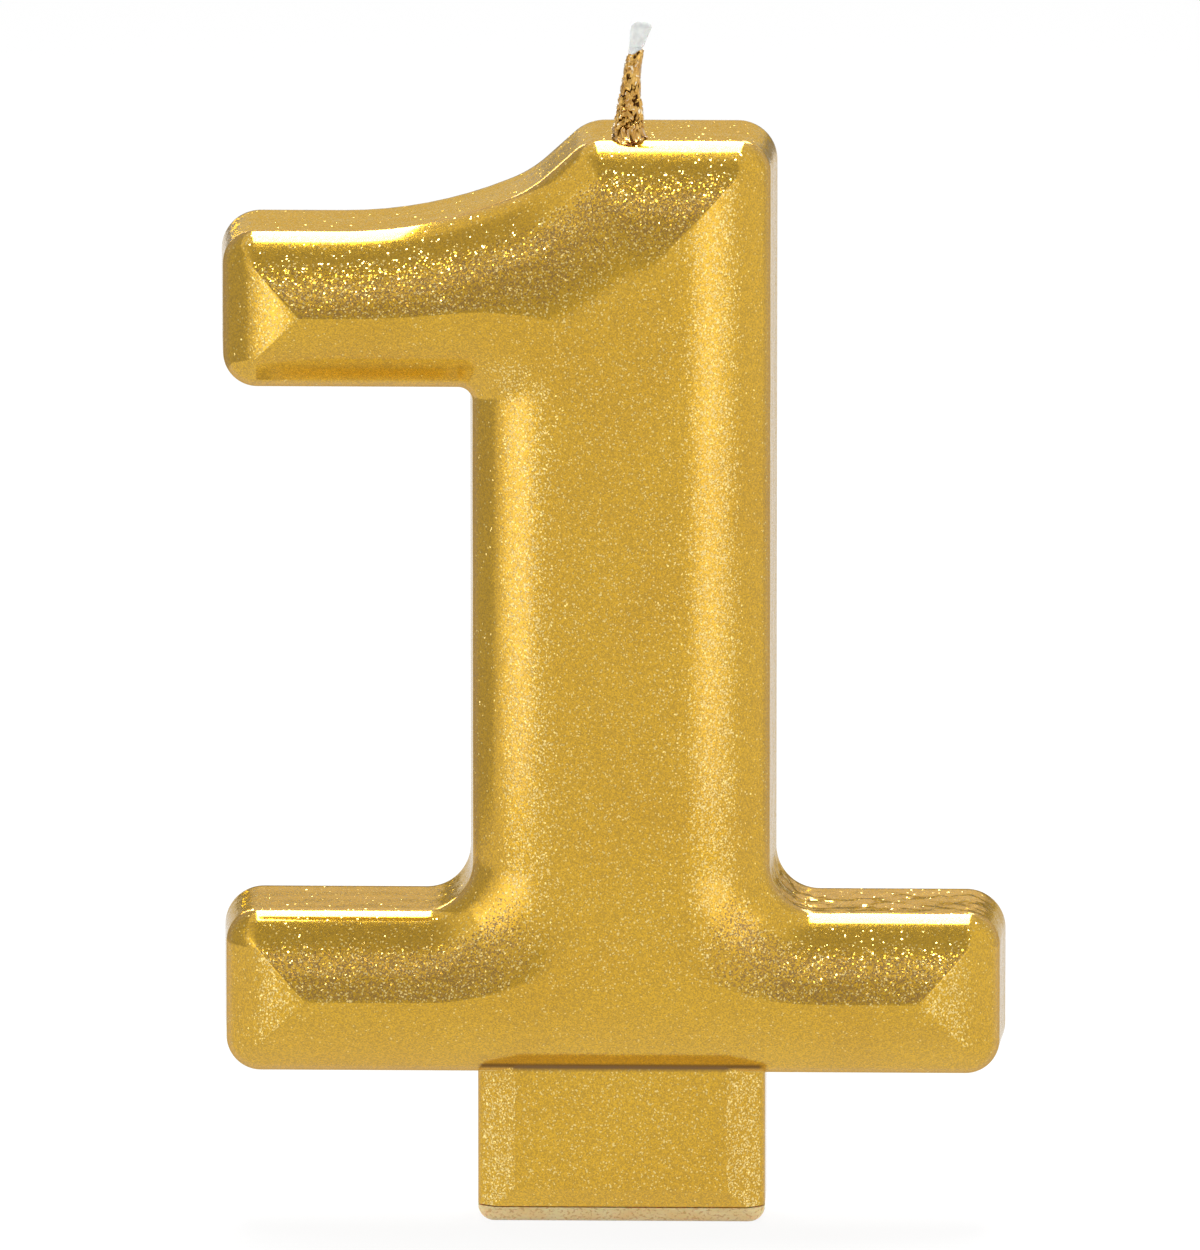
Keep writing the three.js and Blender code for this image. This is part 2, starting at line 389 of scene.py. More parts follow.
def weld(piece: Piece, gap: float) -> None:
    """Merges the vertices of a piece that lie close together, and turns its faces out.

    Args:
        piece: the piece.
        gap: how close they lie, in millimetres.
    """
    make_active(piece)
    bpy.ops.object.mode_set(mode="EDIT")
    bpy.ops.mesh.select_all(action="SELECT")
    bpy.ops.mesh.remove_doubles(threshold=gap * MM)
    turn_out()


def open_loop(mesh: bmesh.types.BMesh) -> list[bmesh.types.BMVert]:
    """Finds the one hole of a mesh.

    Args:
        mesh: the mesh.

    Returns:
        The vertices round the hole, in order.
    """
    edges = {edge for edge in mesh.edges if edge.is_boundary}
    start = min(edges, key=lambda edge: edge.index)
    loop = [start.verts[0], start.verts[1]]
    edges.discard(start)
    while edges:
        following = next((edge for edge in loop[-1].link_edges if edge in edges), None)
        if following is None:
            break
        edges.discard(following)
        loop.append(following.other_vert(loop[-1]))
    return loop[:-1]


def fill_face(piece: Piece) -> None:
    """Closes the front of a moulding along its ridges with even triangles.

    Args:
        piece: the moulding, open at its front.
    """
    mesh = bmesh.new()
    mesh.from_mesh(piece.data)
    mesh.edges.index_update()
    loop = open_loop(mesh)
    flat = [Vector((vertex.co.x, vertex.co.z)) / MM for vertex in loop]
    for triangle in delaunay_2d_cdt(flat, [], [list(range(len(loop)))], 1, TINY)[2]:
        mesh.faces.new([loop[k] for k in triangle])
    mesh.to_mesh(piece.data)
    mesh.free()


@dataclass(frozen=True)
class Patch:
    """Rounded patch of the walls, seen from the front."""

    x: float
    z: float
    half_x: float
    half_z: float

    def share(self, x: float, z: float) -> float:
        """One in the patch's middle and less than zero outside it."""
        return 1 - (((x - self.x) / self.half_x) ** 4 + ((z - self.z) / self.half_z) ** 4)


@dataclass(frozen=True)
class Ripples:
    """Shallow waves and dents that casting leaves in the walls."""

    wave_depth: float = 0.035
    wave_size: Triple = (3.2, 3.2, 1.3)
    dent_depth: float = 0.16
    dent_size: Triple = (1.6, 1.6, 0.75)
    dent_slope: float = 3.0
    dented: tuple[Patch, ...] = (Patch(18.5, 22.4, 7.5, 1.5), Patch(12.5, 23.5, 2.2, 2.2))
    span: Pair = (0.9, 7.6)
    fade: float = 1.2

    def depth(self, x: float, z: float, q: float) -> float:
        """How far the surface lies back at a place.

        Args:
            x: place across.
            z: height.
            q: distance in front of the flat back.

        Returns:
            The depth, never less than zero.
        """
        low, high = self.span
        if not low < q < high:
            return 0.0
        window = min(1.0, (q - low) / self.fade, (high - q) / self.fade)
        place = Vector((x, z, q))
        wave = 0.5 + 0.5 * noise.noise(Vector(a / b for a, b in zip(place, self.wave_size)))
        dent = noise.noise(Vector(a / b for a, b in zip(place, self.dent_size)))
        fold = 1 - abs(dent) * self.dent_slope
        share = max(0.0, *(patch.share(x, z) for patch in self.dented))
        return window * (self.wave_depth * wave + self.dent_depth * share * max(0.0, fold))


@dataclass(frozen=True)
class Moulding:
    """A flat-backed solid whose section stands on every point of its outline.

    Each column of the mesh starts on the outline and ends where it meets the ridge, which is the centre
    of the largest circle that fits inside the outline and touches it there.
    """

    outline: Outline
    section: Section
    back_y: float
    ripples: Ripples | None = None
    ridge_land: float = 0.03
    weld_gap: float = 0.012

    def column_ends(self, points: np.ndarray) -> np.ndarray:
        """Insets at which the columns stop.

        Args:
            points: the traced outline.

        Returns:
            One inset for each point.
        """
        offset = points[None, :, :2] - points[:, None, :2]
        along = np.einsum("ijk,ik->ij", offset, points[:, 2:])
        square = np.einsum("ijk,ijk->ij", offset, offset)
        radius = np.where(along > TINY, square / np.maximum(2 * along, TINY), np.inf).min(axis=1)
        return np.minimum(self.section.reach, radius - self.ridge_land)

    def rings(self, layer: Layer) -> np.ndarray:
        """Places of all the rings of a layer.

        Args:
            layer: the layer.

        Returns:
            Places in metres, indexed by ring, column and axis.
        """
        points = self.outline.trace()
        ends = self.column_ends(points)
        rim = self.section.rim_rows(layer)
        start = self.section.rim_inset + layer.under * math.sin(self.section.rim)
        shares = np.arange(1, layer.face + 1)[:, None] / layer.face
        face_inset = start + (ends[None, :] - start) * shares
        face_depth = self.section.face_depth(face_inset, layer.under)
        wide = np.ones((1, len(points)))
        inset = np.vstack([rim[:, :1] * wide, face_inset])
        depth = np.vstack([rim[:, 1:] * wide, face_depth])
        if self.ripples and not layer.under:
            places = np.broadcast_arrays(points[:, 0], points[:, 1], depth)
            inset = inset + np.vectorize(self.ripples.depth)(*places)
        x = points[:, 0] + inset * points[:, 2]
        z = points[:, 1] + inset * points[:, 3]
        return np.stack([x, self.back_y - depth, z], axis=-1) * MM

    def build(self, name: str, layer: Layer) -> Piece:
        """Models the closed solid.

        Args:
            name: name of the piece.
            layer: the layer that closes it.

        Returns:
            The solid.
        """
        piece = loft(name, self.rings(layer))
        weld(piece, self.weld_gap)
        fill_face(piece)
        weld(piece, self.weld_gap)
        return piece


@dataclass(frozen=True)
class Ramp:
    """A range of values, and what its two ends become."""

    low: float
    high: float
    first: float = 0.0
    last: float = 1.0


CLOUD_TONE = Ramp(0.35, 0.65)


@dataclass(frozen=True)
class Socket:
    """One named socket of a shader node group."""

    name: str
    kind: str = "NodeSocketFloat"
    value: float = 0.0


class NodeSheet:
    """Writes nodes and links into one node tree."""

    def __init__(self, tree: bpy.types.NodeTree) -> None:
        """Starts on a tree."""
        self.tree = tree

    def feed(self, node: Node, inputs: dict[str | int, object]) -> None:
        """Sets or links inputs of a node.

        Args:
            node: the node.
            inputs: for each input a value, or the output socket that feeds it.
        """
        for name, value in inputs.items():
            if isinstance(value, Output):
                self.tree.links.new(value, node.inputs[name])
            else:
                node.inputs[name].default_value = value

    def add(self, kind: str, inputs: dict[str | int, object] | None = None, **settings: object) -> Node:
        """Adds a node.

        Args:
            kind: the node's type.
            inputs: for each input a value, or the output socket that feeds it.
            **settings: properties of the node.

        Returns:
            The node.
        """
        node = self.tree.nodes.new(kind)
        for name, value in settings.items():
            setattr(node, name, value)
        self.feed(node, inputs or {})
        return node

    def place(self) -> Output:
        """Object coordinates."""
        return self.add("ShaderNodeTexCoord").outputs["Object"]

    def axes(self, vector: Output) -> Outputs:
        """The three parts of a vector."""
        return self.add("ShaderNodeSeparateXYZ", {0: vector}).outputs

    def grey(self, tone: Output) -> Output:
        """A grey of one tone."""
        return self.add("ShaderNodeCombineColor", {k: tone for k in ("Red", "Green", "Blue")}).outputs[0]

    def math(self, operation: str, first: object, second: object = 0.0) -> Output:
        """Output of a Math node on two values or sockets."""
        return self.add("ShaderNodeMath", {0: first, 1: second}, operation=operation).outputs[0]

    def vector(self, operation: str, first: object, second: object = (0, 0, 0)) -> Output:
        """Vector output of a Vector Math node on two vectors or sockets."""
        return self.add("ShaderNodeVectorMath", {0: first, 1: second}, operation=operation).outputs[0]

    def pattern(self, kind: str, size: Output, **inputs: object) -> Outputs:
        """Outputs of a pattern over the surface, by its node's type and its size in millimetres."""
        scale = self.math("DIVIDE", 1 / MM, size)
        return self.add(kind, {"Vector": self.place(), "Scale": scale, **inputs}).outputs

    def remap(self, value: Output, ramp: Ramp, **settings: object) -> Output:
        """A value carried along a ramp and kept inside it.

        Args:
            value: the value.
            ramp: the ramp.
            **settings: properties of the node.

        Returns:
            The output socket.
        """
        ends = {"From Min": ramp.low, "From Max": ramp.high, "To Min": ramp.first, "To Max": ramp.last}
        return self.add("ShaderNodeMapRange", {"Value": value, **ends}, **settings).outputs["Result"]

    def blend(self, share: object, first: object, second: object, mode: str = "MIX") -> Output:
        """Two colours mixed.

        Args:
            share: how much of the second, as a number or socket.
            first: colour or socket.
            second: colour or socket.
            mode: Blender's name of the mixing mode.

        Returns:
            The output socket.
        """
        inputs = {0: share, 6: first, 7: second}
        return self.add("ShaderNodeMix", inputs, data_type="RGBA", blend_type=mode).outputs[2]


def new_group(name: str, inputs: list[Socket], outputs: list[Socket]) -> tuple[NodeSheet, dict, Node]:
    """Starts a shader node group.

    Args:
        name: the group's name.
        inputs: its input sockets.
        outputs: its output sockets.

    Returns:
        The sheet to write on, the inputs as sockets inside the group, and the output node.
    """
    tree = bpy.data.node_groups.new(name, "ShaderNodeTree")
    for socket in inputs:
        made = tree.interface.new_socket(socket.name, in_out="INPUT", socket_type=socket.kind)
        made.default_value = socket.value
    for socket in outputs:
        tree.interface.new_socket(socket.name, in_out="OUTPUT", socket_type=socket.kind)
    sheet = NodeSheet(tree)
    given = sheet.add("NodeGroupInput").outputs
    return sheet, {s.name: given[s.name] for s in inputs}, sheet.add("NodeGroupOutput")


@dataclass(frozen=True)
class FlakeLay:
    """How flakes lie on each side of a moulding, by how far its surface looks up or to the front."""

    top: Ramp = Ramp(0.1, 0.4)
    side: Ramp = Ramp(0.3, 0.5)
    front: Ramp = Ramp(-0.35, -0.05, 0.25, 1.0)
    face: Ramp = Ramp(0.745, 0.8, 0.06, 1.0)
    wall: Ramp = Ramp(0.15, 0.4, 1.0, 0.0)
    calm: Ramp = Ramp(0.06, 1.0, 0.3, 1.0)
    pale: Ramp = Ramp(0.05, 0.2, 1.0, 0.15)


def flake_group(lay: FlakeLay) -> bpy.types.NodeTree:
    """Group of metal flakes: each cell of a fine pattern leans its own way and has its own shade.

    Some flakes stand steeply and catch the lamps as sparks: most where the face looks up, fewer where it
    looks to a side, and next to none on the smooth walls and fillets.

    Args:
        lay: how the flakes lie.

    Returns:
        The group.
    """
    inputs = [Socket(name, value=value) for name, value in FLAKE_VALUES.items()]
    outputs = [Socket(name) for name in ("Shade", "Spark", "Pale", "Face")]
    outputs.append(Socket("Normal", "NodeSocketVector"))
    sheet, given, result = new_group("metal_flakes", inputs, outputs)
    cells = sheet.pattern("ShaderNodeTexVoronoi", given["Size mm"])
    chance = sheet.add("ShaderNodeTexWhiteNoise", {"Vector": cells["Position"]}).outputs
    red, green, _ = sheet.add("ShaderNodeSeparateColor", {"Color": chance["Color"]}).outputs
    normal = sheet.add("ShaderNodeNewGeometry").outputs["Normal"]
    across, depth, rise = sheet.axes(normal)
    front_on = sheet.math("MULTIPLY", depth, -1.0)
    face = sheet.remap(front_on, lay.face)
    top = sheet.math("MULTIPLY", sheet.remap(rise, lay.top), given["Top Share"])
    aside = sheet.remap(sheet.math("ABSOLUTE", across), lay.side)
    share = sheet.math("MAXIMUM", top, sheet.math("MULTIPLY", aside, given["Side Share"]))
    front = sheet.math("MULTIPLY", sheet.remap(rise, lay.front), given["Front Share"])
    share = sheet.math("MULTIPLY", sheet.math("MAXIMUM", share, front), face)
    spark = sheet.math("LESS_THAN", chance["Value"], share)
    rough = sheet.math("MAXIMUM", face, sheet.remap(front_on, lay.wall))
    lean = sheet.math("MULTIPLY", given["Lean"], sheet.remap(rough, lay.calm))
    lean = sheet.math("ADD", lean, sheet.math("MULTIPLY", spark, given["Spark Lean"]))
    centred = sheet.vector("SUBTRACT", cells["Color"], (0.5, 0.5, 0.5))
    tilt = sheet.add("ShaderNodeVectorMath", {0: centred, "Scale": lean}, operation="SCALE").outputs[0]
    leaning = sheet.vector("NORMALIZE", sheet.vector("ADD", normal, tilt))
    spread = sheet.math("MULTIPLY", sheet.math("SUBTRACT", green, 0.5), given["Contrast"])
    # Pale sparks lie mostly where the face doesn't look up. There they are painted glints: bright dots
    # where no lamp reaches.
    pale_share = sheet.math("MULTIPLY", given["Pale Share"], sheet.remap(rise, lay.pale))
    pale = sheet.math("LESS_THAN", red, pale_share)
    shade = sheet.math("ADD", spread, 1.0)
    sheet.feed(result, {"Normal": leaning, "Shade": shade, "Spark": spark, "Pale": pale, "Face": face})
    return sheet.tree


def cloud_group() -> bpy.types.NodeTree:
    """Group of soft clouds over the surface, for uneven colour and sheen.

    Returns:
        The group.
    """
    inputs = [Socket("Size mm", value=8.0), Socket("Detail", value=3.0)]
    sheet, given, result = new_group("soft_clouds", inputs, [Socket("Amount")])
    clouds = sheet.pattern("ShaderNodeTexNoise", given["Size mm"], Detail=given["Detail"])
    sheet.feed(result, {"Amount": clouds["Fac"]})
    return sheet.tree


class Groups:
    """The shader node groups, each built once."""

    def __init__(self) -> None:
        """Builds them all."""
        self.flake_tree = flake_group(FlakeLay())
        self.cloud_tree = cloud_group()

    def flakes(self, sheet: NodeSheet, values: dict[str, float]) -> Outputs:
        """Outputs of the flakes placed in a material, with its values."""
        return sheet.add("ShaderNodeGroup", values, node_tree=self.flake_tree).outputs

    def clouds(self, sheet: NodeSheet, size: float, detail: float) -> Output:
        """Output of the clouds placed in a material, by their size in millimetres and their detail."""
        values = {"Size mm": size, "Detail": detail}
        return sheet.add("ShaderNodeGroup", values, node_tree=self.cloud_tree).outputs["Amount"]


def new_material(name: str) -> tuple[Material, NodeSheet, Node]:
    """Starts a material.

    Args:
        name: its name.

    Returns:
        The material, its sheet and its Principled shader.
    """
    material = bpy.data.materials.new(name)
    material.use_nodes = True
    return material, NodeSheet(material.node_tree), material.node_tree.nodes["Principled BSDF"]


@dataclass(frozen=True)
class SeamShade:
    """Line across the front where two forms meet, darkened with painted shade as in a crease, in
    millimetres.
    """

    half_width: float
    y: float
    z: float
    reach: float = 0.42
    full: float = 0.3
    end: float = 0.96

    def mask(self, sheet: NodeSheet) -> Output:
        """One along the crease, where the shade is painted, and zero away from it.

        Args:
            sheet: the sheet to write on.

        Returns:
            The output socket.
        """
        place = sheet.place()
        flat = sheet.vector("MULTIPLY", place, (0, 1, 1))
        offset = sheet.vector("SUBTRACT", flat, (0, self.y * MM, self.z * MM))
        away = sheet.add("ShaderNodeVectorMath", {0: offset}, operation="LENGTH").outputs["Value"]
        reach, half = self.reach * MM, self.half_width * MM
        line = sheet.remap(away, Ramp(self.full * reach, reach, 1.0, 0.0))
        across = sheet.math("ABSOLUTE", sheet.axes(place)[0])
        return sheet.math("MULTIPLY", line, sheet.remap(across, Ramp(self.end * half, half, 1.0, 0.0)))


@dataclass(frozen=True)
class GoldFlakeFinish:
    """Gold flake lacquer under smooth clear wax."""

    light: Colour = (0.61, 0.352, 0.006, 1)
    deep: Colour = (0.575, 0.322, 0.003, 1)
    edge: Colour = (0.7, 0.555, 0.22, 1)
    # Painted reflection: the pale gold that the gold shows only where it is seen in a reflection.
    painted_reflection_tint: Colour = (1.0, 0.9, 0.55, 1)
    pale_spark_painted_glint: Colour = (0.82, 0.6, 0.2, 1)
    dark_spark: Colour = (0.35, 0.19, 0.02, 1)
    seam: Colour = (0.16, 0.07, 0.003, 1)
    flake_size: float = 0.095
    flake_lean: float = 0.1
    shade_contrast: float = 0.42
    spark_lean: float = 0.46
    spark_shares: Triple = (0.58, 0.25, 0.06)
    pale_share: float = 0.6
    cloud_size: float = 9.0
    cloud_detail: float = 4.0
    cloud_sheen: Ramp = Ramp(0.3, 0.7, 0.0, 0.03)
    face_sheen: Ramp = Ramp(0.06, 1.0, 0.075, 0.19)
    coat: Ramp = Ramp(0.55, 0.8, 1.0, 0.2)
    coat_roughness: float = 0.08
    coat_ior: float = 1.5

    def material(self, groups: Groups, seam: SeamShade) -> Material:
        """Builds the material.

        Args:
            groups: the shared node groups.
            seam: the crease where tab and bar meet, darkened with painted shade.

        Returns:
            The material.
        """
        material, sheet, shader = new_material("gold_flake_lacquer")
        lay = (self.flake_size, self.flake_lean, self.shade_contrast, self.spark_lean)
        values = (*lay, *self.spark_shares, self.pale_share)
        flakes = groups.flakes(sheet, dict(zip(FLAKE_VALUES, values)))
        clouds = groups.clouds(sheet, self.cloud_size, self.cloud_detail)
        gold = sheet.blend(sheet.remap(clouds, CLOUD_TONE), self.light, self.deep)
        gold = sheet.blend(1.0, gold, sheet.grey(flakes["Shade"]), "MULTIPLY")
        # Spark flakes are dark or pale. The pale ones are partly the flakes' own colour, which whitens
        # the glints that the lamps give, and partly painted glints where no lamp reaches.
        sparks = sheet.blend(flakes["Pale"], self.dark_spark, self.pale_spark_painted_glint)
        gold = sheet.blend(flakes["Spark"], gold, sparks)
        # Painted shade: a dark brown line along the crease where the tab meets the bar.
        gold = sheet.blend(seam.mask(sheet), gold, self.seam)
        # Painted reflection: where the gold is seen in a reflection, its colour turns pale gold, which
        # brightens those reflections.
        painted_reflection_tint = sheet.add("ShaderNodeLightPath").outputs["Is Glossy Ray"]
        sheen = sheet.remap(flakes["Face"], self.face_sheen)
        facing = sheet.add("ShaderNodeLayerWeight", {"Blend": 0.5}).outputs["Facing"]
        looks = {
            "Base Color": sheet.blend(painted_reflection_tint, gold, self.painted_reflection_tint),
            "Metallic": 1.0,
            "Roughness": sheet.math("ADD", sheet.remap(clouds, self.cloud_sheen), sheen),
            "Normal": flakes["Normal"],
            "Specular Tint": self.edge,
            "Coat Weight": sheet.remap(facing, self.coat),
            "Coat Roughness": self.coat_roughness,
            "Coat IOR": self.coat_ior,
        }
        sheet.feed(shader, looks)
        return material


@dataclass(frozen=True)
class CrinkledGoldFinish:
    """The same gold where it has run and dried on the wick, with painted shade in its creases and painted
    highlights on its crests.
    """

    light: Colour = (0.78, 0.46, 0.1, 1)
    deep: Colour = (0.5, 0.24, 0.025, 1)
    crease: Colour = (0.05, 0.016, 0.003, 1)
    crest: Colour = (0.95, 0.84, 0.6, 1)
    flake_size: float = 0.16
    flake_lean: float = 0.3
    shade_contrast: float = 0.5
    cloud_size: float = 0.5
    cloud_detail: float = 3.0
    painted_highlight_rise: Ramp = Ramp(0.78, 0.92, 0.0, 0.9)
    painted_shade_rise: Ramp = Ramp(0.18, 0.45, 1.0, 0.0)
    sheen: Ramp = Ramp(0.3, 0.7, 0.12, 0.3)
    coat: Ramp = Ramp(0.3, 0.6)
    coat_roughness: float = 0.05

    def material(self, groups: Groups) -> Material:
        """Builds the material.

        Args:
            groups: the shared node groups.

        Returns:
            The material.
        """
        material, sheet, shader = new_material("crinkled_gold")
        clouds = groups.clouds(sheet, self.cloud_size, self.cloud_detail)
        lay = (self.flake_size, self.flake_lean, self.shade_contrast)
        flakes = groups.flakes(sheet, {**dict(zip(FLAKE_VALUES, lay)), "Top Share": 0.0})
        height = sheet.add("ShaderNodeAttribute", attribute_name=CREASE).outputs["Fac"]
        base = sheet.blend(sheet.remap(clouds, CLOUD_TONE), self.light, self.deep)
        # Painted highlight: the crests of the crinkles are made pale.
        base = sheet.blend(sheet.remap(height, self.painted_highlight_rise), base, self.crest)
        # Painted shade: the creases of the crinkles are made nearly black.
        base = sheet.blend(sheet.remap(height, self.painted_shade_rise), base, self.crease)
        looks = {
            "Base Color": base,
            "Metallic": 1.0,
            "Roughness": sheet.remap(clouds, self.sheen),
            "Normal": flakes["Normal"],
            "Coat Weight": sheet.remap(height, self.coat),
            "Coat Roughness": self.coat_roughness,
        }
        sheet.feed(shader, looks)
        return material


@dataclass(frozen=True)
class Softness:
    """Surface of a soft, bumpy stuff that light enters, with its measures in metres."""

    roughness: float
    bump_strength: float
    bump_height: float
    depth_share: float
    light_depth: float

    def looks(self, sheet: NodeSheet, colour: Output, height: Output) -> dict[str, object]:
        """Gathers what the shader needs.

        Args:
            sheet: the sheet to write on.
            colour: the colour.
            height: the height of the bumps.

        Returns:
            Inputs of the shader by name.
        """
        bump = {"Height": height, "Strength": self.bump_strength, "Distance": self.bump_height}
        return {
            "Base Color": colour,
            "Roughness": self.roughness,
            "Normal": sheet.add("ShaderNodeBump", bump).outputs["Normal"],
            "Subsurface Weight": self.depth_share,
            "Subsurface Scale": self.light_depth,
        }


@dataclass(frozen=True)
class WaxFinish:
    """Pale paraffin wax with a fine grit."""

    pale: Colour = (1.0, 0.82, 0.47, 1)
    warm: Colour = (0.97, 0.7, 0.32, 1)
    grit: Colour = (0.7, 0.42, 0.14, 1)
    cloud_size: float = 1.5
    cloud_detail: float = 4.0
    grit_size: float = 0.22
    grit_detail: float = 2.0
    grit_share: Ramp = Ramp(0.52, 0.66, 0.0, 0.8)
    softness: Softness = Softness(0.42, 0.5, 0.0001, 0.3, 0.001)

    def material(self, groups: Groups) -> Material:
        """Builds the material.

        Args:
            groups: the shared node groups.

        Returns:
            The material.
        """
        material, sheet, shader = new_material("pale_wax")
        clouds = groups.clouds(sheet, self.cloud_size, self.cloud_detail)
        grit = groups.clouds(sheet, self.grit_size, self.grit_detail)
        base = sheet.blend(sheet.remap(clouds, CLOUD_TONE), self.pale, self.warm)
        base = sheet.blend(sheet.remap(grit, self.grit_share), base, self.grit)
        sheet.feed(shader, self.softness.looks(sheet, base, grit))
        return material


@dataclass(frozen=True)
class CottonFinish:
    """White cotton soaked with clear wax."""

    white: Colour = (0.78, 0.8, 0.77, 1)
    grey: Colour = (0.6, 0.61, 0.6, 1)
    cloud_size: float = 0.7
    cloud_detail: float = 3.0
    fibre_stretch: Triple = (1, 1, 0.15)
    fibre_scale: float = 9000.0
    fibre_detail: float = 2.0
    softness: Softness = Softness(0.45, 0.25, 0.00005, 0.1, 0.0003)

    def material(self, groups: Groups) -> Material:
        """Builds the material.

        Args:
            groups: the shared node groups.

        Returns:
            The material.
        """
        material, sheet, shader = new_material("waxed_cotton")
        clouds = groups.clouds(sheet, self.cloud_size, self.cloud_detail)
        mapping = {"Vector": sheet.place(), "Scale": self.fibre_stretch}
        stretched = sheet.add("ShaderNodeMapping", mapping).outputs["Vector"]
        pattern = {"Vector": stretched, "Scale": self.fibre_scale, "Detail": self.fibre_detail}
        fibres = sheet.add("ShaderNodeTexNoise", pattern).outputs[0]
        base = sheet.blend(sheet.remap(clouds, CLOUD_TONE), self.white, self.grey)
        sheet.feed(shader, self.softness.looks(sheet, base, fibres))
        return material


def dress(piece: Piece, material: Material) -> None:
    """Gives a piece one material alone."""
    piece.data.materials.clear()
    piece.data.materials.append(material)


def settle(piece: Piece, angle: float, material: Material, replaced: str) -> None:
    """Smooths and dresses a finished piece and puts it in the frame in place of a CAD node.

    Args:
        piece: the piece, with its place in its mesh.
        angle: angle in degrees below which its faces shade smoothly into each other.
        material: its material.
        replaced: the node that it stands for.
    """
    make_active(piece)
    bpy.ops.object.shade_smooth_by_angle(angle=math.radians(angle))
    dress(piece, material)
    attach(piece, BODY)
    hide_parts(replaced)
    LOG.info("%s: %d vertices for %s", piece.name, len(piece.data.vertices), replaced)


@dataclass
class Candle:
    """Cast body of the candle: the figure and its tab under one gold skin."""

    stem_width: float = 21.2
    figure_height: float = 65.75
    bar_height: float = 12.1
    bar_left: float = 27.6
    bar_right: float = 26.45
    flag_reach: float = 27.7
    flag_height: float = 11.65
    flag_drop: float = 6.36
    head_left: float = 2.46
    elbow_left: float = 6.34
    elbow_drop: float = 3.51
    rise_left: float = 13.35
    outer_corner: float = 2.75
    bar_corner: float = 3.0
    flag_corner: float = 0.6
    head_corner: float = 3.2
    elbow_radius: float = 8.3
    rise_radius: float = 30.0
    tab_width: float = 19.8
    tab_drop: float = 10.3
    tab_root: float = 6.0
    tab_thickness: float = 8.5
    tab_corner: float = 1.1
    bare_foot: float = 1.25
    bore_radius: float = 0.55
    section: Section = Section(12.8, 7.0, 3.0, 2.4, 46.0, FaceForm.DOMED)
    tab_section: Section = Section(8.5, 6.2, 0.0, 0.9, 35.0, FaceForm.BEVELLED)
    outside: Layer = Layer(0.0, 4, 18, 10, 22)
    inside: Layer = Layer(0.3, 2, 1, 3, 8)
    smooth_angle: float = 32.0

    @property
    def head_top(self) -> float:
        """Height of the head's top."""
        return self.tab_drop + self.figure_height

    @property
    def back_y(self) -> float:
        """Place of the flat back."""
        return self.tab_thickness / 2

    @property
    def seam(self) -> SeamShade:
        """Crease where the face of the tab runs into the fillet of the bar, darkened with painted shade.

        Returns:
            The line of painted shade.
        """
        inset, depth = self.section.fillet_centre
        reach = math.sqrt(self.section.fillet**2 - (self.tab_thickness - depth) ** 2)
        return SeamShade(self.tab_width / 2, self.back_y - self.tab_thickness, self.tab_drop + inset - reach)

    def figure(self) -> Moulding:
        """The figure one, seen from the front and measured on its flat back.

        Returns:
            The moulding.
        """
        half = self.stem_width / 2
        bar_top = self.tab_drop + self.bar_height
        flag_top = self.head_top - self.flag_drop
        flag_foot = flag_top - self.flag_height
        corners = (
            Corner(-self.bar_left, self.tab_drop, self.outer_corner),
            Corner(self.bar_right, self.tab_drop, self.outer_corner),
            Corner(self.bar_right, bar_top, self.outer_corner),
            Corner(half, bar_top, self.bar_corner),
            Corner(half, self.head_top, self.outer_corner),
            Corner(-self.head_left, self.head_top, self.head_corner),
            Corner(-self.elbow_left, self.head_top - self.elbow_drop, self.elbow_radius),
            Corner(-self.rise_left, flag_top, self.rise_radius),
            Corner(-self.flag_reach, flag_top, self.outer_corner),
            Corner(-self.flag_reach, flag_foot, self.outer_corner),
            Corner(-half, flag_foot, self.flag_corner),
            Corner(-half, bar_top, self.bar_corner),
            Corner(-self.bar_left, bar_top, self.outer_corner),
        )
        return Moulding(Outline(corners), self.section, self.back_y, Ripples())

    def tab(self) -> Moulding:
        """The insert tab, rooted in the foot bar.

        Returns:
            The moulding.
        """
        half = self.tab_width / 2
        root = self.tab_drop + self.tab_root
        places = ((-half, 0.0), (half, 0.0), (half, root), (-half, root))
        corners = tuple(Corner(x, z, self.tab_corner) for x, z in places)
        return Moulding(Outline(corners), self.tab_section, self.back_y)

    def solid(self, name: str, layer: Layer) -> Piece:
        """Figure and tab joined in one piece.

        Args:
            name: name of the piece.
            layer: the layer that closes it.

        Returns:
            The piece.
        """
        piece = self.figure().build(name, layer)
        combine(piece, self.tab().build("tab_" + name, layer), Cut.JOIN)
        return piece

    def build_skin(self, bore: Piece, material: Material) -> Piece:
        """Models the gold skin, open at the wick and round the bare foot.

        Args:
            bore: the solid that opens its hole for the wick.
            material: its material.

        Returns:
            The skin.
        """
        skin = self.solid("gold_skin_shell", self.outside)
        combine(skin, self.solid("hollow", self.inside), Cut.REMOVE)
        combine(skin, bore, Cut.REMOVE)
        combine(skin, self.foot_cutter(), Cut.REMOVE)
        settle(skin, self.smooth_angle, material, "gold_skin")
        return skin

    def foot_cutter(self) -> Piece:
        """Block that opens the skin below the bare band of the foot.

        Returns:
            The block.
        """
        side = 3 * self.tab_thickness
        deselect()
        bpy.ops.mesh.primitive_cube_add(size=1, location=(0, 0, (self.bare_foot - side / 2) * MM))
        block = bpy.context.object
        block.scale = (1.5 * self.tab_width * MM, side * MM, side * MM)
        bpy.ops.object.transform_apply(location=True, rotation=False, scale=True)
        return block

    @staticmethod
    def dress_core(material: Material) -> None:
        """Gives the wax core its material."""
        dress(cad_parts["wax_core"], material)
        LOG.info("wax_core: dressed")


def turns(count: int) -> np.ndarray:
    """Angles of a number of columns, spread evenly once round."""
    return np.linspace(0, 2 * math.pi, count, endpoint=False)


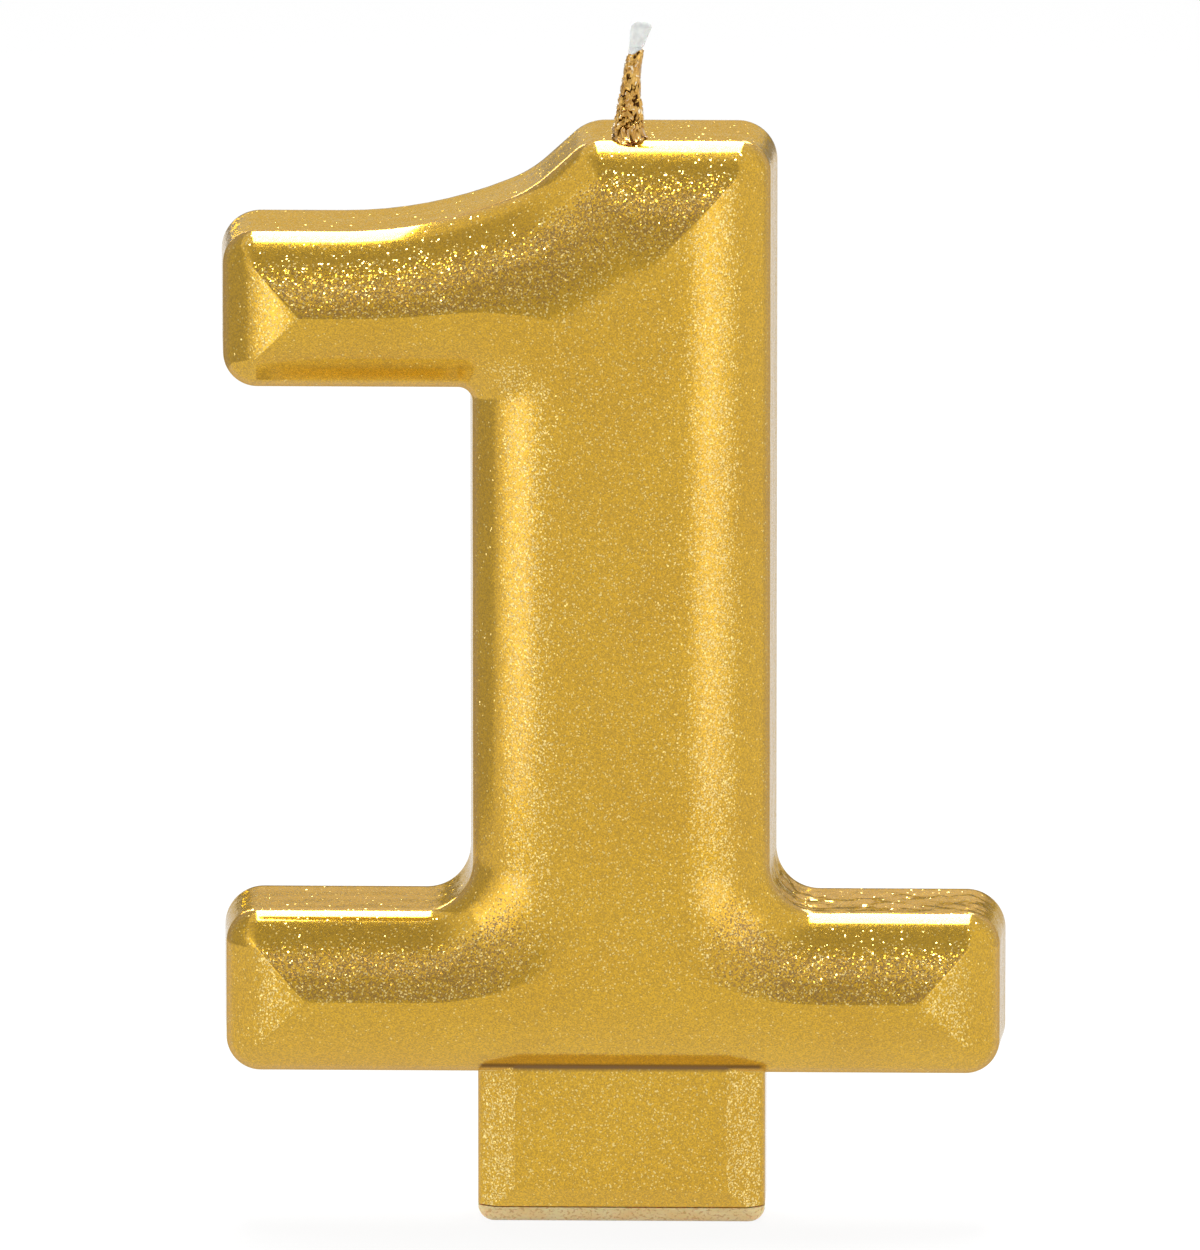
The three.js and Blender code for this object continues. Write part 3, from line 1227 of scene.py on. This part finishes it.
def share_of(value: float) -> float:
    """A value kept between 0 and 1."""
    return max(0.0, min(1.0, value))


@dataclass(frozen=True)
class Wave:
    """Waves round a ring: how high they stand, how many there are, and how far they are turned."""

    height: float
    count: int
    twist: float

    def heights(self, turn: np.ndarray, share: float = 1.0) -> np.ndarray:
        """Height at some angles, where a share of the twist is reached."""
        return self.height * np.cos(self.count * turn + self.twist * share)


@dataclass(frozen=True)
class Wick:
    """Cotton wick, upright in the wax and leaning to the right above it, with a swollen tip."""

    head_top: float
    back_y: float
    side: float = 0.3
    depth: float = 6.5
    radius: float = 0.5
    foot: float = 14.0
    rise: float = 7.9
    gilded_rise: float = 5.85
    lean: float = 0.9
    lean_power: float = 2.2
    step: float = 0.2
    step_start: float = 0.3
    tip_radius: float = 0.72
    tip_lean: float = 0.2
    tip_hold: float = 0.66
    tip_squash: float = 0.85
    swell_rate: float = 1.5
    swell_power: float = 1.2
    round_start: float = 0.66
    round_power: float = 2.2
    end_radius: float = 0.04
    strands: tuple[Wave, ...] = (Wave(0.035, 3, 5), Wave(0.02, 7, -9))
    columns: int = 48
    cord_rows: int = 24
    tip_rows: int = 40
    bore_rows: int = 8
    bore_drop: float = 2.0
    smooth_angle: float = 60.0

    @property
    def top(self) -> float:
        """Height of the wick's end."""
        return self.head_top + self.rise

    @property
    def bare(self) -> float:
        """Height at which the wick comes out of its gold."""
        return self.head_top + self.gilded_rise

    def centre(self, z: float) -> Pair:
        """Place of the wick's middle at a height.

        Args:
            z: the height.

        Returns:
            Its places across and from front to back.
        """
        share = max(0.0, (z - self.head_top) / self.rise)
        above = share_of(z - self.head_top + self.step_start)
        step = self.step * above * above * (3 - 2 * above)
        return self.side + step + self.lean * share**self.lean_power, self.back_y - self.depth

    def ring(self, z: float, radii: np.ndarray, squash: float = 1.0) -> np.ndarray:
        """One level ring round the wick.

        Args:
            z: its height.
            radii: radius of each column.
            squash: width from front to back as a share of the width across.

        Returns:
            Places in metres.
        """
        turn = turns(len(radii))
        x, y = self.centre(z)
        places = [x + radii * np.cos(turn), y + squash * radii * np.sin(turn), np.full(len(radii), z)]
        return np.stack(places, axis=-1) * MM

    def bore(self, radius: float) -> Piece:
        """Solid that opens a hole for the wick.

        Args:
            radius: the hole's radius.

        Returns:
            The solid.
        """
        heights = np.linspace(self.head_top - self.bore_drop, self.top, self.bore_rows)
        radii = np.full(self.columns, radius)
        return capped("bore", np.stack([self.ring(z, radii) for z in (self.foot, *heights)]))

    def tip_ring(self, share: float) -> np.ndarray:
        """Ring of the swollen, softly cut tip.

        Args:
            share: how much of the tip lies below it.

        Returns:
            Places in metres.
        """
        z = self.bare + (self.top - self.bare) * share
        swell = min(1.0, self.swell_rate * share) ** self.swell_power
        rounding = max(0.0, (share - self.round_start) / (1 - self.round_start)) ** self.round_power
        radius = self.radius + (self.tip_radius - self.radius) * swell
        radius = max(radius * math.sqrt(max(0.0, 1 - rounding)), self.end_radius)
        strands = 1 + sum(wave.heights(turns(self.columns), share) for wave in self.strands)
        held = min(share, self.tip_hold)
        upright = self.centre(self.bare + (self.top - self.bare) * held)[0] - self.centre(z)[0]
        shift = np.array([(upright + self.tip_lean * held) * MM, 0, 0])
        return self.ring(z, radius * strands, self.tip_squash) + shift

    def build(self, material: Material) -> None:
        """Models the wick, from its foot in the wax to its tip.

        Args:
            material: its material.
        """
        plain = np.full(self.columns, self.radius)
        rings = [self.ring(z, plain) for z in np.linspace(self.foot, self.bare, self.cord_rows)]
        rings += [self.tip_ring(share) for share in np.linspace(0, 1, self.tip_rows)[1:]]
        wick = capped("wick_cord", np.stack(rings))
        settle(wick, self.smooth_angle, material, "wick")


@dataclass(frozen=True)
class Crinkles:
    """Lumps and sharp creases of gold that has run down a wick and dried."""

    lump_size: float = 0.35
    seed: Triple = (3.1, 7.7, 1.3)
    stretch: float = 0.8
    warp: float = 0.35
    warp_scale: float = 1.7
    middle: float = 0.72
    swell: float = 0.5
    swell_scale: float = 1.6
    crease_width: float = 0.34
    patch_seed: Triple = (9, 2, 5)
    patch_scale: float = 0.7
    patch_share: float = 0.5
    patch_fade: float = 0.14
    patch_foot: float = 2.4
    zero: float = 0.7
    shallow: float = 0.07
    deepening: float = 0.17
    shallow_rise: float = 4.6
    shallow_span: float = 2.6

    def depth(self, rise: float) -> float:
        """Depth of the crinkles at a height above the head."""
        return self.shallow + self.deepening * share_of((self.shallow_rise - rise) / self.shallow_span)

    def height(self, turn: float, radius: float, rise: float) -> float:
        """Height of the crinkled surface, from 0 in a crease to about 1 on a crest.

        Args:
            turn: angle round the wick in radians.
            radius: radius of the sleeve there.
            rise: height above the head.

        Returns:
            The height.
        """
        place = Vector((radius * math.cos(turn), radius * math.sin(turn), self.stretch * rise))
        place = place / self.lump_size
        place += Vector(self.seed) + self.warp * noise.noise_vector(place * self.warp_scale)
        nearest, second = noise.voronoi(place)[0][:2]
        patch = self.patch_share + noise.noise(place * self.patch_scale + Vector(self.patch_seed))
        patch -= self.patch_fade * max(0.0, rise - self.patch_foot)
        crease = max(0.0, 1 - (second - nearest) / self.crease_width) * max(0.0, patch)
        return share_of(self.middle + self.swell * noise.noise(place * self.swell_scale) - crease)


@dataclass(frozen=True)
class Tongue:
    """Where gold has run further over the head: its angle, half width and share of the longest."""

    turn: float
    width: float
    reach: float

    def reaches(self, turn: np.ndarray) -> np.ndarray:
        """How far it reaches at some angles."""
        return self.reach * np.exp(-(((turn - self.turn) / self.width) ** 2))


@dataclass(frozen=True)
class Skirt:
    """Gold that has run from the sleeve's foot out over the head, thin at its edge."""

    rows: int = 12
    level: float = 1.0
    look_down: float = 2.0
    tongues: tuple[Tongue, ...] = (Tongue(1.5 * math.pi, 0.5, 1.0), Tongue(5.9, 0.3, 0.3))
    reach: float = 0.12
    tongue_reach: float = 0.62
    ragged: Pair = (0.75, 0.3)
    lump_spread: float = 0.5
    sink: float = 0.06
    film: float = 0.03
    lump_height: float = 0.14
    thinning: float = 0.6
    foot_swell: float = 0.16

    def spread(self, share: float, tongue: float, lump: float) -> float:
        """Distance out from the sleeve's foot, by a share of the way to its edge, tongue and crinkle."""
        least, more = self.ragged
        return share * (self.reach + self.tongue_reach * tongue) * (least + more * lump)

    def lift(self, share: float, lump: float) -> float:
        """Height over the head. The edge is sunk in.

        Args:
            share: one at its edge and zero at the sleeve's foot.
            lump: height of the crinkles there.

        Returns:
            The height.
        """
        if share == 1:
            return -self.sink
        lumps = self.lump_height * lump * (1 - self.thinning * share)
        return self.film + lumps + self.foot_swell * (1 - share) ** 2


@dataclass(frozen=True)
class Sleeve:
    """Crinkled gold that clings to the wick and has run down over the head's edge."""

    wick: Wick
    profile: tuple[Pair, ...] = (
        (0.0, 1.12),
        (1.0, 1.0),
        (1.9, 0.86),
        (2.6, 0.73),
        (3.4, 0.66),
        (4.2, 0.61),
        (5.6, 0.6),
        (5.85, 0.57),
    )
    crinkles: Crinkles = Crinkles()
    skirt: Skirt = Skirt()
    columns: int = 120
    rows: int = 130
    inner_stride: int = 8
    first_rise: float = 0.25
    clearance: float = 0.02
    root: float = 1.1
    rim_start: float = 4.6
    rim_drop: float = 0.4
    rim_sag: float = 0.1
    rim_wave: Wave = Wave(0.05, 4, 1)
    weld_gap: float = 0.001
    smooth_angle: float = 50.0

    def radius(self, rise: float) -> float:
        """Plain radius at a height above the head."""
        return float(np.interp(rise, *np.array(self.profile).T))

    def ring(self, rise: float, radii: np.ndarray) -> np.ndarray:
        """Ring of the sleeve, which hangs lower towards the slanting, uneven rim.

        Args:
            rise: its height above the head.
            radii: radius of each column.

        Returns:
            Places in metres.
        """
        turn = turns(self.columns)
        share = max(0.0, (rise - self.rim_start) / (self.wick.gilded_rise - self.rim_start))
        drop = self.rim_drop * (0.5 - 0.5 * np.cos(turn)) + self.rim_sag + self.rim_wave.heights(turn)
        hang = np.stack([0 * turn, 0 * turn, share * drop], axis=-1) * MM
        return self.wick.ring(self.wick.head_top + rise, radii) - hang

    def outer_ring(self, rise: float) -> np.ndarray:
        """Crinkled ring of the sleeve.

        Args:
            rise: its height above the head.

        Returns:
            Places in metres.
        """
        base = self.radius(rise)
        crinkle = np.array([self.crinkles.height(a, base, rise) for a in turns(self.columns)])
        return self.ring(rise, base + self.crinkles.depth(rise) * (crinkle - self.crinkles.zero))

    def skirt_rings(self, head: Piece) -> list[np.ndarray]:
        """Rings of the skirt.

        Args:
            head: the gold skin that it lies on.

        Returns:
            Rings from under the skin up to the foot of the sleeve.
        """
        head_top, foot = self.wick.head_top, self.radius(0.0)
        x, y = self.wick.centre(head_top + self.skirt.level)
        turn = turns(self.columns)
        tongues = sum(tongue.reaches(turn) for tongue in self.skirt.tongues)
        rings = []
        for share in np.linspace(1, 0, self.skirt.rows):
            ring = []
            for angle, tongue in zip(turn, tongues):
                lump = self.crinkles.height(angle, foot + self.skirt.lump_spread * share, -share)
                radius = foot + self.skirt.spread(share, tongue, lump)
                px, py = x + radius * math.cos(angle), y + radius * math.sin(angle)
                above = (px * MM, py * MM, (head_top + self.skirt.look_down) * MM)
                hit, place, _, _ = head.ray_cast(above, (0, 0, -1))
                level = place.z / MM if hit else head_top
                ring.append((px, py, level + self.skirt.lift(share, lump)))
            rings.append(np.array(ring) * MM)
        return rings

    def mark_creases(self, sleeve: Piece) -> None:
        """Stores the crinkles' height on the sleeve's vertices.

        Args:
            sleeve: the sleeve, not welded yet.
        """
        heights = []
        for vertex in sleeve.data.vertices:
            place = vertex.co / MM
            rise = place.z - self.wick.head_top
            x, y = self.wick.centre(place.z)
            turn = math.atan2(place.y - y, place.x - x)
            heights.append(self.crinkles.height(turn, self.radius(rise), rise))
        sleeve.data.attributes.new(CREASE, "FLOAT", "POINT").data.foreach_set("value", heights)

    def build(self, head: Piece, material: Material) -> None:
        """Models the sleeve and its skirt.

        Args:
            head: the gold skin that it stands on.
            material: its material.
        """
        rises = np.linspace(self.first_rise, self.wick.gilded_rise, self.rows)
        inner = np.full(self.columns, self.wick.radius + self.clearance)
        rings = self.skirt_rings(head) + [self.outer_ring(rise) for rise in rises]
        rings += [self.ring(rise, inner) for rise in rises[::-self.inner_stride]]
        rings.append(self.wick.ring(self.wick.head_top - self.root, inner))
        sleeve = loft("gilded_sleeve", np.stack(rings), closed=True)
        self.mark_creases(sleeve)
        weld(sleeve, self.weld_gap)
        settle(sleeve, self.smooth_angle, material, "wick_sleeve")


@dataclass(frozen=True)
class Spot:
    """Where a lamp, card or camera stands, in degrees and metres, and the size of its face."""

    azimuth: float
    elevation: float
    distance: float
    width: float = 0.0
    height: float = 0.0

    def placing(self, aim: Vector) -> tuple[Vector, Vector]:
        """Place of the face's middle and the way that it faces.

        Args:
            aim: what it faces, in metres.

        Returns:
            The place and the turn as Euler angles.
        """
        turn, tilt = math.radians(self.azimuth), math.radians(self.elevation)
        way = Vector((math.sin(turn) * math.cos(tilt), -math.cos(turn) * math.cos(tilt), math.sin(tilt)))
        return aim + way * self.distance, (-way).to_track_quat("-Z", "Y").to_euler()


@dataclass(frozen=True)
class Lamp:
    """A soft box: how bright its face is, where 1 is white, and whether the gold mirrors it."""

    name: str
    spot: Spot
    radiance: float
    mirrored: bool = False


@dataclass(frozen=True)
class Card:
    """A card that is only seen as a reflection, and how bright it is there, where 1 is white.

    A second tone is what a reflection of a reflection shows. A middle tone is that of its upright middle
    line, from which it fades to its sides.
    """

    name: str
    spot: Spot
    tone: float
    second: float | None = None
    middle: float | None = None


@dataclass(frozen=True)
class Studio:
    """Plain studio: pale floor, soft lamps, grey cards, white surround and a long lens."""

    view: Spot = Spot(1.5, 10.0, 1.4)
    pixel: float = 0.0688
    picture_height: int = 1250
    sensor: float = 36.0
    clip: Pair = (0.05, 20.0)
    aim: Triple = (-1.54, 0.0, 41.4)
    floor_size: float = 6.0
    floor_grain: float = 30.0
    floor_tone: Ramp = Ramp(0.3, 0.7, 0.88, 0.92)
    floor_roughness: float = 0.9
    white_share: float = 0.9
    room_level: float = 0.6
    lamps: tuple[Lamp, ...] = (
        Lamp("overhead_box", Spot(180, 70, 0.5, 0.2, 0.4), 16.0),
        Lamp("left_box", Spot(-67, 15, 0.17, 0.045, 0.22), 1.95),
        Lamp("right_box", Spot(61, 15, 0.17, 0.06, 0.22), 1.5),
        Lamp("left_kicker", Spot(-155, 20, 0.3, 0.05, 0.13), 6.0, mirrored=True),
        Lamp("right_kicker", Spot(165, 35, 0.3, 0.04, 0.08), 5.0, mirrored=True),
    )
    cards: tuple[Card, ...] = (
        Card("overhead_face", Spot(180, 70, 0.49, 0.22, 0.47), 16.0, second=1.0),
        Card("front_card", Spot(-12, 32, 0.6, 1.3, 0.68), 1.0, middle=0.66),
        Card("band_card", Spot(-10, 56, 0.58, 1.2, 0.11), 1.1, middle=1.08),
        Card("top_card", Spot(-8, 72, 0.45, 1.0, 0.13), 1.0, middle=0.6),
        Card("left_face", Spot(-70, 3, 0.17, 0.1, 0.16), 0.95, middle=2.0),
        Card("right_face", Spot(60, 3, 0.17, 0.115, 0.16), 1.0, middle=1.72),
        Card("left_card", Spot(-118, 10, 0.13, 0.175, 0.22), 0.62),
        Card("back_face", Spot(180, 22, 0.35, 0.6, 0.15), 1.15),
        Card("back_low", Spot(180, 5, 0.36, 0.6, 0.07), 0.5),
        Card("right_card", Spot(128, 10, 0.13, 0.13, 0.2), 0.85),
    )

    @property
    def target(self) -> Vector:
        """What the camera and lamps face, in metres."""
        return Vector(self.aim) * MM

    def build(self) -> None:
        """Sets up everything."""
        self.lay_floor()
        self.surround()
        for plan in self.lamps:
            self.hang_lamp(plan)
        for plan in self.cards:
            self.stand_card(plan)
        self.set_camera()
        bpy.context.scene.view_settings.view_transform = "Standard"

    @staticmethod
    def seen_as_background(sheet: NodeSheet) -> Output:
        """One for camera, glossy and transmission rays, and zero for the rest.

        Args:
            sheet: the sheet to write on.

        Returns:
            The output socket.
        """
        path = sheet.add("ShaderNodeLightPath").outputs
        mirrored = sheet.math("MAXIMUM", path["Is Glossy Ray"], path["Is Transmission Ray"])
        return sheet.math("MAXIMUM", path["Is Camera Ray"], mirrored)

    @staticmethod
    def glow(sheet: NodeSheet, strength: object) -> Output:
        """Shader that glows white with a strength, as a number or socket."""
        return sheet.add("ShaderNodeEmission", {"Color": WHITE, "Strength": strength}).outputs[0]

    @staticmethod
    def place_object(name: str, data: bpy.types.ID, spot: Spot, aim: Vector) -> Piece:
        """Puts a lamp or camera in its spot.

        Args:
            name: its name.
            data: the lamp's or camera's data.
            spot: the spot.
            aim: what it faces, in metres.

        Returns:
            The lamp or camera.
        """
        placed = bpy.data.objects.new(name, data)
        bpy.context.scene.collection.objects.link(placed)
        placed.location, placed.rotation_euler = spot.placing(aim)
        return placed

    def lay_floor(self) -> None:
        """Lays the pale floor, which looks white and keeps a soft shadow."""
        deselect()
        bpy.ops.mesh.primitive_plane_add(size=self.floor_size)
        plane = bpy.context.object
        plane.name = "floor"
        material, sheet, shader = new_material("pale_floor")
        grain = sheet.add("ShaderNodeTexNoise", {"Scale": self.floor_grain, "Detail": 2.0}).outputs[0]
        tone = sheet.grey(sheet.remap(grain, self.floor_tone))
        sheet.feed(shader, {"Base Color": tone, "Roughness": self.floor_roughness})
        mirrored = sheet.add("ShaderNodeLightPath").outputs["Is Glossy Ray"]
        level = sheet.remap(mirrored, Ramp(0.0, 1.0, self.white_share, 1.0))
        share = sheet.math("MULTIPLY", self.seen_as_background(sheet), level)
        mix = sheet.add("ShaderNodeMixShader", {0: share, 1: shader.outputs[0], 2: self.glow(sheet, 1.0)})
        sheet.feed(material.node_tree.nodes["Material Output"], {"Surface": mix.outputs[0]})
        dress(plane, material)

    def surround(self) -> None:
        """Makes the world white where it is seen and a plain grey where it only lights."""
        world = bpy.data.worlds.new("studio")
        bpy.context.scene.world = world
        world.use_nodes = True
        sheet = NodeSheet(world.node_tree)
        grey = (self.room_level, self.room_level, self.room_level, 1)
        colour = sheet.blend(self.seen_as_background(sheet), grey, WHITE)
        sheet.feed(world.node_tree.nodes["Background"], {"Color": colour, "Strength": 1.0})

    def hang_lamp(self, plan: Lamp) -> None:
        """Hangs a soft box that faces the candle.

        Args:
            plan: its plan.
        """
        data = bpy.data.lights.new(plan.name, "AREA")
        data.shape = "RECTANGLE"
        data.size, data.size_y = plan.spot.width, plan.spot.height
        data.energy = plan.radiance * math.pi * plan.spot.width * plan.spot.height
        lamp = self.place_object(plan.name, data, plan.spot, self.target)
        lamp.visible_camera = False
        lamp.visible_glossy = plan.mirrored

    def stand_card(self, plan: Card) -> None:
        """Stands a card that faces the candle.

        Args:
            plan: its plan.
        """
        deselect()
        place, turn = plan.spot.placing(self.target)
        bpy.ops.mesh.primitive_plane_add(size=1, location=place, rotation=turn)
        card = bpy.context.object
        card.name = plan.name
        card.scale = (plan.spot.width, plan.spot.height, 1)
        bpy.ops.object.transform_apply(location=False, rotation=False, scale=True)
        material, sheet, shader = new_material(plan.name + "_grey")
        if plan.middle is None:
            depth = sheet.add("ShaderNodeLightPath").outputs["Ray Depth"]
            second = plan.tone if plan.second is None else plan.second
            strength = sheet.remap(depth, Ramp(1.0, 2.0, plan.tone, second))
        else:
            across = sheet.math("ABSOLUTE", sheet.axes(sheet.place())["X"])
            fade = Ramp(0.0, plan.spot.width / 2, plan.middle, plan.tone)
            strength = sheet.remap(across, fade, interpolation_type="SMOOTHERSTEP")
        output = material.node_tree.nodes["Material Output"]
        sheet.feed(output, {"Surface": self.glow(sheet, strength)})
        material.node_tree.nodes.remove(shader)
        dress(card, material)
        for ray in ("camera", "diffuse", "transmission", "volume_scatter", "shadow"):
            setattr(card, "visible_" + ray, False)

    def set_camera(self) -> None:
        """Sets the camera at the picture's angle with a long lens."""
        data = bpy.data.cameras.new("camera")
        data.sensor_fit = "VERTICAL"
        data.sensor_height = self.sensor
        data.lens = self.sensor * self.view.distance / (self.picture_height * self.pixel * MM)
        data.clip_start, data.clip_end = self.clip
        bpy.context.scene.camera = self.place_object("camera", data, self.view, self.target)


def main() -> None:
    """Builds the candle in order.

    The noise gets a seed first, because its vectors differ from run to run without one.
    """
    logging.basicConfig(level=logging.INFO, format="%(name)s %(message)s")
    noise.seed_set(NOISE_SEED)
    groups = Groups()
    Studio().build()
    candle = Candle()
    wick = Wick(head_top=candle.head_top, back_y=candle.back_y)
    gold = GoldFlakeFinish().material(groups, candle.seam)
    skin = candle.build_skin(wick.bore(candle.bore_radius), gold)
    candle.dress_core(WaxFinish().material(groups))
    wick.build(CottonFinish().material(groups))
    Sleeve(wick).build(skin, CrinkledGoldFinish().material(groups))
    deselect()


if __name__ == "__main__":
    main()
